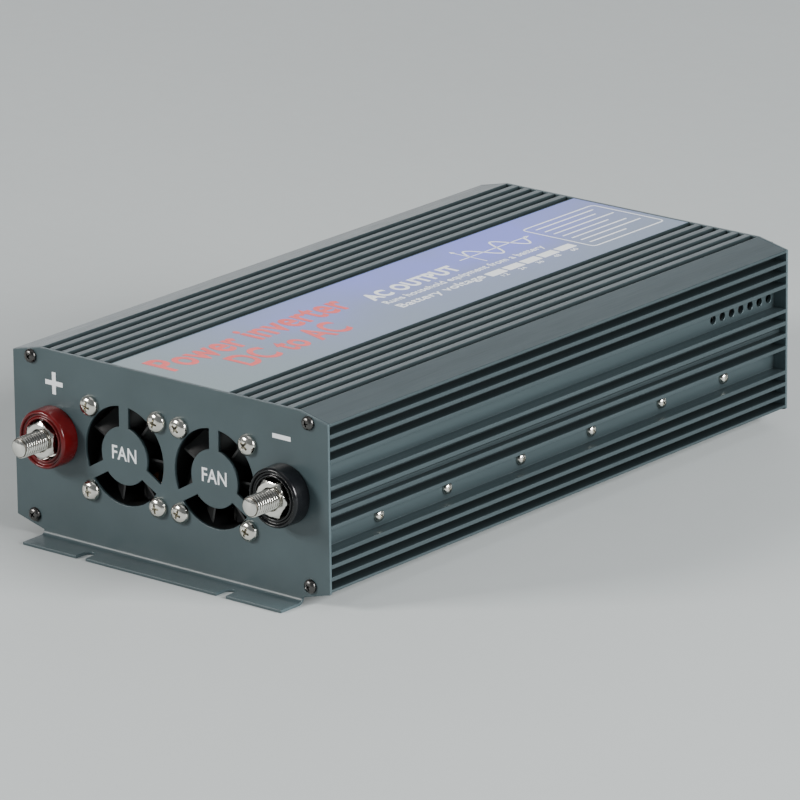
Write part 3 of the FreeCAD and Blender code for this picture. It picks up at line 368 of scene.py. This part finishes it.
MATERIALS = {
    # The case's narrow grooves get painted shade, down to a quarter of the colour (groove).
    "case_aluminium": finish("case_aluminium", (0.044, 0.064, 0.070), (0.064, 0.090, 0.098), 0.36, 0.55,
                             blotch=90.0, grain=2600.0, along=0.02, relief=0.10, patchy=0.07,
                             groove=0.25),
    "panel_paint": finish("panel_paint", (0.044, 0.068, 0.075), (0.054, 0.082, 0.091), 0.40, 0.0,
                          blotch=30.0, grain=2200.0, relief=0.16, patchy=0.05),
    "dark_screw": finish("dark_screw", (0.07, 0.068, 0.066), (0.16, 0.155, 0.15), 0.28, 1.0),
    "nickel": finish("nickel", (0.62, 0.60, 0.54), (0.86, 0.84, 0.77), 0.16, 1.0, relief=0.02),
    "zinc_steel": finish("zinc_steel", (0.58, 0.57, 0.53), (0.82, 0.81, 0.76), 0.17, 1.0, relief=0.03),
    "label_film": label_film(),
    "red_plastic": finish("red_plastic", (0.09, 0.003, 0.004), (0.13, 0.006, 0.007), 0.20, blotch=120.0,
                          relief=0.01, patchy=0.04, **{"Coat Weight": 0.2, "Specular IOR Level": 0.35}),
    "black_plastic": finish("black_plastic", (0.003, 0.003, 0.004), (0.007, 0.008, 0.009), 0.20,
                            blotch=120.0, relief=0.01, patchy=0.04,
                            **{"Coat Weight": 0.12, "Specular IOR Level": 0.3}),
    "fan_plastic": finish("fan_plastic", (0.005, 0.005, 0.006), (0.011, 0.012, 0.012), 0.42),
    "magnet": finish("magnet", (0.02, 0.02, 0.02), (0.04, 0.04, 0.04), 0.6),
    "shaft_steel": finish("shaft_steel", (0.5, 0.5, 0.5), (0.75, 0.75, 0.74), 0.25, 1.0, grain=4000.0),
    "copper": finish("copper", (0.55, 0.25, 0.12), (0.80, 0.42, 0.24), 0.32, 1.0),
    "board_green": finish("board_green", (0.010, 0.09, 0.035), (0.018, 0.14, 0.055), 0.35),
    "ferrite": finish("ferrite", (0.03, 0.03, 0.032), (0.06, 0.06, 0.064), 0.7, relief=0.2),
    "winding_tape": finish("winding_tape", (0.55, 0.36, 0.03), (0.72, 0.50, 0.06), 0.35, grain=500.0),
    "capacitor_sleeve": finish("capacitor_sleeve", (0.012, 0.02, 0.06), (0.02, 0.035, 0.09), 0.3),
    "film_box": finish("film_box", (0.42, 0.05, 0.03), (0.55, 0.08, 0.05), 0.35),
    "semiconductor": finish("semiconductor", (0.012, 0.012, 0.012), (0.025, 0.025, 0.025), 0.55),
    "insulator": finish("insulator", (0.55, 0.55, 0.53), (0.72, 0.72, 0.70), 0.6),
    "fuse_orange": finish("fuse_orange", (0.70, 0.24, 0.02), (0.85, 0.34, 0.04), 0.25),
    "socket_plastic": finish("socket_plastic", (0.010, 0.010, 0.011), (0.018, 0.018, 0.02), 0.34,
                             relief=0.08),
    "brass_contact": finish("brass_contact", (0.60, 0.42, 0.16), (0.80, 0.60, 0.28), 0.26, 1.0),
    "switch_red": finish("switch_red", (0.32, 0.008, 0.008), (0.42, 0.014, 0.012), 0.22, relief=0.01,
                         **{"Coat Weight": 0.3}),
    "lamp_green": finish("lamp_green", (0.02, 0.32, 0.06), (0.05, 0.50, 0.10), 0.15, relief=0.01,
                         **{"Coat Weight": 0.5}),
    "lamp_red": finish("lamp_red", (0.42, 0.012, 0.012), (0.58, 0.03, 0.02), 0.15, relief=0.01,
                       **{"Coat Weight": 0.5}),
    "wire_sheath": finish("wire_sheath", (0.02, 0.02, 0.022), (0.05, 0.05, 0.055), 0.45),
    "red_ink": finish("red_ink", (0.74, 0.085, 0.085), (0.86, 0.13, 0.13), 0.5, grain=3000.0),
    "white_ink": finish("white_ink", (0.88, 0.92, 0.94), (0.95, 0.97, 0.98), 0.45, grain=3000.0),
    # A dark steel for thread roots: painted shade, together with grime.
    "root_shade_and_grime": finish("root_shade_and_grime", (0.10, 0.09, 0.075), (0.20, 0.185, 0.16), 0.35, 1.0),
    "floor": finish("floor", (0.47, 0.50, 0.50), (0.51, 0.54, 0.54), 0.7, blotch=1.2, grain=90.0,
                    relief=0.02),
}
NODE_SLOTS = {part["node"]: part["material_slot"] for part in frame["record"]["subparts"]}

for node, slot in NODE_SLOTS.items():
    carrier = frame["nodes"][node]
    if not carrier.material_slots:
        carrier.data.materials.append(MATERIALS[slot])
    for place in carrier.material_slots:
        place.material = MATERIALS[slot]

FLAT_ANGLE = 0.5        # degrees, up to which two faces count as one
CORNER_ANGLE = 32       # degrees, from which an edge is broken
BEVEL_ROWS, EVENNESS = 2, 80

# Broken edges, in mm, on the CAD nodes that show.
BROKEN_EDGES = {"upper_shell": 0.25, "lower_shell": 0.25, "front_panel": 0.28, "rear_panel": 0.28,
                "left_socket": 0.5, "right_socket": 0.5, "switch_housing": 0.4, "switch_rocker": 0.45}
for node, radius in BROKEN_EDGES.items():
    carrier = frame["nodes"][node]
    weld = carrier.modifiers.new("weld", "WELD")
    weld.merge_threshold = WELD_GAP
    flat = carrier.modifiers.new("flat", "DECIMATE")
    flat.decimate_type = "DISSOLVE"
    flat.angle_limit = math.radians(FLAT_ANGLE)
    bevel = carrier.modifiers.new("edges", "BEVEL")
    bevel.width = radius * MM
    bevel.segments = BEVEL_ROWS
    bevel.limit_method = "ANGLE"
    bevel.angle_limit = math.radians(CORNER_ANGLE)
    bevel.use_clamp_overlap = False
    bevel.loop_slide = False
    even = carrier.modifiers.new("even", "WEIGHTED_NORMAL")
    even.weight = EVENNESS


# ---- screws ----

SCREW_LENGTH = 6.0
DOME_ANGLES = (8, 18, 30, 43, 56, 68, 78, 85)       # degrees from the top of a head
DOME_HEIGHT_POWER, DOME_RADIUS_POWER = 0.8, 0.75    # below 1, they fill out the dome
CROSS_REACH, CROSS_HALF_WIDTH = 0.56, 0.15          # as shares of the head's radius
CROSS_DEPTH = 0.62                                  # as a share of the head's height
CROSS_TAPER = 0.45                                  # width at the bottom as a share of that at the top
CUTTER_SPARE = 1.0                                  # how far the cutter stands out of the head


def pan_head(radius, tall, shank, length):
    """A domed head with a rounded rim and a tapered cross recess, and its shank."""
    rise = [(-tall, 0.0)]
    for t in (math.radians(angle) for angle in DOME_ANGLES):
        rise.append((-tall * math.cos(t) ** DOME_HEIGHT_POWER, radius * math.sin(t) ** DOME_RADIUS_POWER))
    rim = [(-tall * 0.06, radius), (0.0, radius * 0.97)]
    tail = [(0.0, shank), (length - shank * 0.5, shank), (length, shank * 0.5), (length, 0.0)]
    head = lathe(rise + rim + tail, 48)
    arm, slit, depth = radius * CROSS_REACH, radius * CROSS_HALF_WIDTH, tall * CROSS_DEPTH
    turn_up = Matrix.Rotation(math.pi / 2, 4, "X")
    cross = [(arm, -slit), (arm, slit), (slit, slit), (slit, arm), (-slit, arm), (-slit, slit), (-arm, slit),
             (-arm, -slit), (-slit, -slit), (-slit, -arm), (slit, -arm), (slit, -slit)]
    points, faces = prism(cross, depth + CUTTER_SPARE, turn_up)
    bottom_y, top_y = -(tall - depth) * MM, -(tall + CUTTER_SPARE) * MM
    tapered = []
    for point in points:
        high = abs(point.y) > 0.5 * (depth + CUTTER_SPARE) * MM
        scale = 1.0 if high else CROSS_TAPER
        tapered.append(Vector((point.x * scale, top_y if high else bottom_y, point.z * scale)))
    return carved(head, solid(tapered, faces))


def outward(direction):
    """The turn that takes -Y to a level direction."""
    return Vector((0, -1, 0)).rotation_difference(direction).to_matrix().to_4x4()


def screws(node, slot, radius, tall, shank, sides):
    """Every screw of a CAD node, its head against the surface that it holds."""
    master = pan_head(radius, tall, shank, SCREW_LENGTH)
    forms = []
    for spot, size in separate(node):
        direction, level = sides(spot)
        axis = 0 if abs(direction.x) > 0.5 else 1
        seat = spot.copy()
        outer = spot[axis] + direction[axis] * size[axis] / 2
        seat[axis] = outer - direction[axis] * tall * MM
        spin = Matrix.Rotation(math.radians(level), 4, "Y")
        forms.append(moved(master, Matrix.Translation(seat) @ outward(direction) @ spin))
    piece(node + "_detail", joined(forms), slot, replaces=[node])


def ends(spot):
    """Which way a screw on an end panel faces, and how far its cross is turned, in degrees."""
    turn = (spot.x * 9000 + spot.z * 5000) % 90
    return Vector((0, -1 if spot.y < CASE_MIDDLE else 1, 0)), turn


def walls(spot):
    """The same for a screw on a side wall."""
    turn = (spot.y * 7000) % 90
    return Vector((-1 if spot.x < 0 else 1, 0, 0)), turn


# The numbers are the head's radius and height and the shank's radius.
screws("fan_screws", "nickel", 5.0, 3.2, 1.95, ends)
screws("panel_screws", "dark_screw", 3.3, 2.2, 1.25, ends)
screws("socket_screws", "dark_screw", 2.8, 1.9, 1.45, ends)
screws("side_screws", "nickel", 2.9, 2.2, 1.45, walls)


# ---- battery terminals ----

THREAD_DEPTH = 0.6                  # as a share of the pitch
THREAD_SHARPNESS = 1.3
TIP_SLOPE = 1.2                     # how fast the chamfer at a stud's tip widens
NUT_CONE, NUT_CONE_SLOPE = 0.95, 1.9        # where the cone starts, as a share of the flat, and its slope
BATTERY_THREAD = (4.9, 1.5, 0.9)            # radius, pitch and chamfer of a stud
BATTERY_THREAD_ROOT = 4.4
BATTERY_NUT_FLAT, BATTERY_NUT_BORE = 16.0, 5.0
EARTH_THREAD = (2.45, 0.8, 0.5)
EARTH_NUT_FLAT, EARTH_NUT_BORE, EARTH_NUT_TURN = 8.0, 2.5, 12.0
NUT_TURNS = {"positive": 28.0, "negative": -3.0}    # degrees
COLLAR_WELL, COLLAR_SEAT, COLLAR_BORE = 9.5, 2.6, 5.2
SPIGOT_RADIUS = 6.8


def threaded(tip, end, radius, pitch, chamfer, steps=40, rows_per_turn=8):
    """A stud from its free tip to its inner end, with a helical thread."""
    depth = pitch * THREAD_DEPTH
    count = int((end - tip) / pitch * rows_per_turn)
    points, faces = [], []
    for row in range(count + 1):
        along = tip + (end - tip) * row / count
        for k in range(steps):
            phase = (along / pitch - k / steps) % 1.0
            crest = radius - depth * abs(2 * phase - 1) ** THREAD_SHARPNESS
            crest = min(crest, radius - chamfer + (along - tip) * TIP_SLOPE)
            angle = 2 * math.pi * k / steps
            points.append(Vector((crest * math.cos(angle), along, crest * math.sin(angle))) * MM)
    for row in range(count):
        for k in range(steps):
            after = (k + 1) % steps
            a, b = row * steps, (row + 1) * steps
            faces.append([a + k, a + after, b + after, b + k])
    faces.append(list(range(steps)))
    faces.append(list(range(count * steps, (count + 1) * steps)))
    return solid(points, faces)


def nut(flat, thick, bore, turn):
    """A hexagon with corners chamfered to a cone at both ends, and a countersunk bore."""
    steps, entry = 96, 0.5
    corner_turn = math.radians(turn)
    rows = [0.0, 0.2, 0.45, 0.75, 1.1]
    depths = rows + [thick - row for row in reversed(rows)]
    points, faces = [], []
    for depth in depths:
        from_end = min(depth, thick - depth)
        cone = flat / 2 * NUT_CONE + from_end * NUT_CONE_SLOPE
        for k in range(steps):
            angle = 2 * math.pi * k / steps
            inside = (angle + math.pi / 6) % (math.pi / 3) - math.pi / 6
            side = flat / 2 / math.cos(math.pi / 6 - abs(inside))
            radius = min(side, cone)
            points.append(Vector((radius * math.cos(angle + corner_turn), -depth,
                                  radius * math.sin(angle + corner_turn))) * MM)
    for depth, radius in ((thick, bore + entry), (thick - entry, bore), (entry, bore), (0.0, bore + entry)):
        for k in range(steps):
            angle = 2 * math.pi * k / steps + corner_turn
            points.append(Vector((radius * math.cos(angle), -depth, radius * math.sin(angle))) * MM)
    rings = len(depths) + 4
    for row in range(rings):
        a, b = row * steps, (row + 1) % rings * steps
        for k in range(steps):
            after = (k + 1) % steps
            faces.append([a + k, a + after, b + after, b + k])
    return solid(points, faces)


def terminal_collar(node):
    """The stepped collar: outer rim, groove, inner ring and the well that the nut sits in."""
    low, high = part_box(node)
    rim = (high.x - low.x) / 2 / MM
    tall = (FRONT - low.y) / MM
    well = COLLAR_WELL
    outside = [(0.0, rim - 4.0), (0.0, rim - 0.1), (-1.1, rim), (0.9 - tall, rim - 0.25)]
    face = [(-tall, rim - 1.0), (-tall, rim - 1.7), (1.3 - tall, rim - 2.2), (1.3 - tall, well + 1.4),
            (0.5 - tall, well + 1.1), (0.4 - tall, well + 0.3), (1.2 - tall, well)]
    base = rounded(outside + face + [(-COLLAR_SEAT, well), (-COLLAR_SEAT, COLLAR_BORE)], 0.45)
    spigot = [(SHEET, COLLAR_BORE), (SHEET, SPIGOT_RADIUS), (0.0, SPIGOT_RADIUS)]
    return lathe(base + spigot, 96), Vector((middle(node).x, FRONT, middle(node).z))


def darken_roots(rod, axis_spot, radius):
    """The root of a thread is painted much darker than its crest: painted shade in the hollow, together with
    what is left in it.
    """
    rod.data.materials.append(MATERIALS["root_shade_and_grime"])
    for face in rod.data.polygons:
        reach = Vector((face.center.x - axis_spot.x, face.center.z - axis_spot.z)).length
        face.material_index = 1 if reach < radius * MM and abs(face.normal.y) < 0.95 else 0


for name, slot in (("positive", "red_plastic"), ("negative", "black_plastic")):
    collar, spot = terminal_collar(name + "_terminal_body")
    place = Matrix.Translation(spot)
    piece(name + "_collar", moved(collar, place), slot, replaces=[name + "_terminal_body"], smooth=50)
    low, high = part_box(name + "_stud")
    tip, end = (low.y - FRONT) / MM, (high.y - FRONT) / MM
    rod = moved(threaded(tip, end, *BATTERY_THREAD), place)
    rod = piece(name + "_threaded_stud", rod, "zinc_steel", replaces=[name + "_stud"], smooth=60)
    # The thread's root faces take the dark steel as painted shade.
    darken_roots(rod, spot, BATTERY_THREAD_ROOT)
    low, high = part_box(name + "_nut")
    seat = Vector((spot.x, high.y, spot.z))
    hexagon = nut(BATTERY_NUT_FLAT, (high.y - low.y) / MM, BATTERY_NUT_BORE, NUT_TURNS[name])
    piece(name + "_hexagon_nut", moved(hexagon, Matrix.Translation(seat)), "zinc_steel",
          body=name + "_nut", replaces=[name + "_nut"], smooth=25)


# ---- earth terminal ----

low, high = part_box("earth_stud")
spot = Vector((middle("earth_stud").x, REAR, middle("earth_stud").z))
place = Matrix.Translation(spot) @ TO_REAR
rod = threaded(-(high.y - REAR) / MM, (REAR - low.y) / MM, *EARTH_THREAD, steps=32)
piece("earth_threaded_stud", moved(rod, place), "brass_contact", replaces=["earth_stud"], smooth=60)
low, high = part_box("earth_nut")
seat = Vector((spot.x, low.y, spot.z))
hexagon = nut(EARTH_NUT_FLAT, (high.y - low.y) / MM, EARTH_NUT_BORE, EARTH_NUT_TURN)
piece("earth_hexagon_nut", moved(hexagon, Matrix.Translation(seat) @ TO_REAR), "brass_contact",
      body="earth_nut", replaces=["earth_nut"], smooth=25)


# ---- printing ----

def surface_place(origin, along, up):
    """A (u, v, w) matrix for a flat face: u along it, v up it and w out of it."""
    out = along.cross(up)
    turn = Matrix((along, up, out)).transposed().to_4x4()
    return Matrix.Translation(origin) @ turn


LABEL_FACE = surface_place(Vector((0, CASE_MIDDLE, LABEL_TOP)), Vector((0, 1, 0)), Vector((-1, 0, 0)))
FRONT_PLATE = surface_place(Vector((0, FRONT, 0)), Vector((1, 0, 0)), Vector((0, 0, 1)))
REAR_PLATE = surface_place(Vector((0, REAR, 0)), Vector((-1, 0, 0)), Vector((0, 0, 1)))


def words(text, left, right, bottom, top, place, weight=0.0):
    """Lettering that fills a box of (left, right, bottom, top) on a face, as a thin raised form."""
    curve = bpy.data.curves.new("words", "FONT")
    curve.body = text
    curve.size = 1.0
    curve.offset = weight
    curve.resolution_u = 6
    curve.space_character = 1.0 + 2.5 * weight
    curve.extrude = 0.01
    thing = bpy.data.objects.new("words", curve)
    bpy.context.scene.collection.objects.link(thing)
    bpy.context.view_layer.update()
    mesh = bpy.data.meshes.new_from_object(thing.evaluated_get(bpy.context.evaluated_depsgraph_get()))
    corners = [vert.co.copy() for vert in mesh.vertices]
    faces = [list(face.vertices) for face in mesh.polygons]
    bpy.data.objects.remove(thing)
    bpy.data.curves.remove(curve)
    bpy.data.meshes.remove(mesh)
    low_u, high_u = min(c.x for c in corners), max(c.x for c in corners)
    low_v, high_v = min(c.y for c in corners), max(c.y for c in corners)
    points = []
    for corner in corners:
        u = left + (corner.x - low_u) / (high_u - low_u) * (right - left)
        v = bottom + (corner.y - low_v) / (high_v - low_v) * (top - bottom)
        w = INK if corner.z > 0 else -INK_ROOT
        points.append(place @ (Vector((u, v, w)) * MM))
    return points, faces


def bar(u0, v0, u1, v1, place, corner=0.0):
    """A printed oblong between two corners, which may be rounded."""
    outline = [(u0, v0), (u1, v0), (u1, v1), (u0, v1)]
    if corner:
        outline = rounded(outline, corner, closed=True)
    return prism(outline, INK, place)


label_white = [
    words("AC OUTPUT", -22, 42, 2, 12, LABEL_FACE, weight=0.04),
    words("Runs household equipment from a battery", -22, 94, -7.5, -1.4, LABEL_FACE, weight=0.01),
    words("Battery voltage", -22, 39, -16.6, -9.4, LABEL_FACE, weight=0.012),
]
label_red = [
    words("Power inverter", -159, -33, 4, 24, LABEL_FACE, weight=0.022),
    words("DC to AC", -132, -60, -18, 0, LABEL_FACE, weight=0.022),
]

# A row of boxes with the common battery voltages under them.
for k, volts in enumerate((12, 24, 36, 48, 60)):
    start = 41.3 + 13.0 * k
    label_white.append(bar(start, -16.6, start + 11.5, -11.0, LABEL_FACE, 0.5))
    label_white.append(words(str(volts), start + 3.6, start + 7.9, -20.6, -17.8, LABEL_FACE))

# Two turns of a sine wave on two axes with arrowheads.
wave_u, wave_v, wave_steps = 59.6, 11.8, 72
wave = [(wave_u + 40.0 * t / wave_steps, wave_v + 8.0 * math.sin(4 * math.pi * t / wave_steps))
        for t in range(wave_steps + 1)]
label_white.append(ribbon(wave, 1.1, INK, LABEL_FACE))
label_white.append(ribbon([(52.0, wave_v), (101.0, wave_v)], 0.6, INK, LABEL_FACE))
label_white.append(ribbon([(wave_u, 1.5), (wave_u, 22.0)], 0.6, INK, LABEL_FACE))
label_white.append(prism([(101.0, 10.6), (104.0, wave_v), (101.0, 13.0)], INK, LABEL_FACE))
label_white.append(prism([(58.4, 22.0), (60.8, 22.0), (wave_u, 24.6)], INK, LABEL_FACE))

# A ruled box with short lines in it.
border = rounded([(109, -23.5), (163.5, -23.5), (163.5, 20), (109, 20)], 3.0, 6, closed=True)
label_white.append(ribbon(border, 0.8, INK, LABEL_FACE, closed=True))
for k, length in enumerate((44.0, 39.0, 46.0, 35.0, 42.0, 46.0, 28.0)):
    v = 14.5 - 5.4 * k
    label_white.append(bar(113.5, v, 113.5 + length, v + 0.9, LABEL_FACE))
piece("label_white_print", joined(label_white), "white_ink")
piece("label_red_print", joined(label_red), "red_ink")

# The words on the fan discs and the signs beside the terminals.
plate_print = []
for node in ("left_fan_frame", "right_fan_frame"):
    x, z = middle(node).x / MM, middle(node).z / MM
    plate_print.append(words("FAN", x - 7.2, x + 7.2, z - 2.2, z + 4.3, FRONT_PLATE, weight=0.012))
plus_x, plus_z, minus_x = -67.9, 74.5, 66.0
arm, half = 5.2, 1.1
plus = [(arm, -half), (arm, half), (half, half), (half, arm), (-half, arm), (-half, half), (-arm, half),
        (-arm, -half), (-half, -half), (-half, -arm), (half, -arm), (half, -half)]
plate_print.append(prism([(plus_x + u, plus_z + v) for u, v in plus], INK, FRONT_PLATE))
plate_print.append(bar(minus_x - arm, 74.4, minus_x + arm, 76.5, FRONT_PLATE))
piece("front_print", joined(plate_print), "white_ink")

# The words beside the fittings at the rear, and the earth sign.
rear_print = []
for node in ("left_socket", "right_socket"):
    u = -middle(node).x / MM
    rear_print.append(words("AC OUTPUT", u - 11, u + 11, 77.0, 80.5, REAR_PLATE, weight=0.01))
for node, text in (("power_lamp", "ON"), ("fault_lamp", "FAULT")):
    u = -middle(node).x / MM
    wide = 1.25 * len(text)
    rear_print.append(words(text, u - wide, u + wide, 35.0, 37.4, REAR_PLATE, weight=0.01))
switch_u = -middle("switch_housing").x / MM
rear_print.append(words("SWITCH", switch_u - 7.5, switch_u + 7.5, 77.6, 80.2, REAR_PLATE, weight=0.01))
earth_u = -middle("earth_stud").x / MM + 12.0
rear_print.append(bar(earth_u - 0.3, 24.5, earth_u + 0.3, 28.5, REAR_PLATE))
for k in range(3):
    half = 3.0 - k
    rear_print.append(bar(earth_u - half, 23.9 - 1.4 * k, earth_u + half, 24.5 - 1.4 * k, REAR_PLATE))
piece("rear_print", joined(rear_print), "white_ink")


# ---- stage, lights and camera ----

def floor():
    """A large flat sheet under the object."""
    half, steps = 4.0, 8
    spots = [2 * half * k / steps - half for k in range(steps + 1)]
    points = [Vector((x, y, 0.0)) for y in spots for x in spots]
    faces = [[row * (steps + 1) + k, row * (steps + 1) + k + 1, (row + 1) * (steps + 1) + k + 1,
              (row + 1) * (steps + 1) + k] for row in range(steps) for k in range(steps)]
    ground = make_object("floor", (points, faces))
    ground.data.materials.append(MATERIALS["floor"])


def softbox(name, place, target, size, power, colour):
    """An oblong light at a place, facing a target."""
    lamp = bpy.data.lights.new(name, "AREA")
    lamp.shape = "RECTANGLE"
    lamp.size, lamp.size_y = size
    lamp.energy = power
    lamp.color = colour
    thing = bpy.data.objects.new(name, lamp)
    thing.location = place
    thing.rotation_euler = (Vector(target) - Vector(place)).to_track_quat("-Z", "Y").to_euler()
    bpy.context.scene.collection.objects.link(thing)


def camera(azimuth, elevation, roll, distance, aim, lens):
    """A camera at an azimuth from -Y towards +X and an elevation, turned about its own axis by roll."""
    a, e, r = (math.radians(angle) for angle in (azimuth, elevation, roll))
    back = Vector((math.sin(a) * math.cos(e), -math.cos(a) * math.cos(e), math.sin(e)))
    level = Vector((math.cos(a), math.sin(a), 0))
    up = back.cross(level)
    right = level * math.cos(r) + up * math.sin(r)
    above = up * math.cos(r) - level * math.sin(r)
    data = bpy.data.cameras.new("camera")
    data.lens = lens
    data.sensor_width = 36.0
    data.clip_end = 50.0
    thing = bpy.data.objects.new("camera", data)
    turn = Matrix((right, above, back)).transposed().to_4x4()
    thing.matrix_world = Matrix.Translation(aim + back * distance) @ turn
    bpy.context.scene.collection.objects.link(thing)
    bpy.context.scene.camera = thing


SKY_COLOUR, SKY_STRENGTH = (0.75, 0.80, 0.84, 1), 0.22

# Name, place, target and size in metres, power in watts and colour.
LIGHTS = [
    ("key", (-1.6, -2.2, 1.3), (0, -0.1, 0.05), (0.9, 0.7), 80, (1.0, 0.98, 0.95)),
    ("back", (-2.3, 2.5, 1.35), (0, 0, 0.05), (2.4, 2.3), 21, (0.95, 0.97, 1.0)),
    ("horizon", (-2.6, 1.9, 0.35), (0, 0, 0.09), (1.6, 0.5), 3, (1, 1, 1)),
    ("side", (2.6, 0.3, 1.15), (0, 0, 0.05), (1.8, 1.1), 185, (1, 1, 1)),
    ("above", (0.2, -0.2, 2.6), (0, 0, 0), (1.8, 1.8), 6, (1, 1, 1)),
]

floor()
world = bpy.data.worlds.new("studio")
world.use_nodes = True
world.node_tree.nodes["Background"].inputs["Color"].default_value = SKY_COLOUR
world.node_tree.nodes["Background"].inputs["Strength"].default_value = SKY_STRENGTH
bpy.context.scene.world = world
for light in LIGHTS:
    softbox(*light)

# Fitted to the edges in the photograph.
aim_point = Vector((-3.604 * MM, CASE_MIDDLE - 2.975 * MM, 36.946 * MM))
camera(azimuth=39.5396, elevation=17.6919, roll=-0.6599, distance=3.1577, aim=aim_point, lens=307.0)
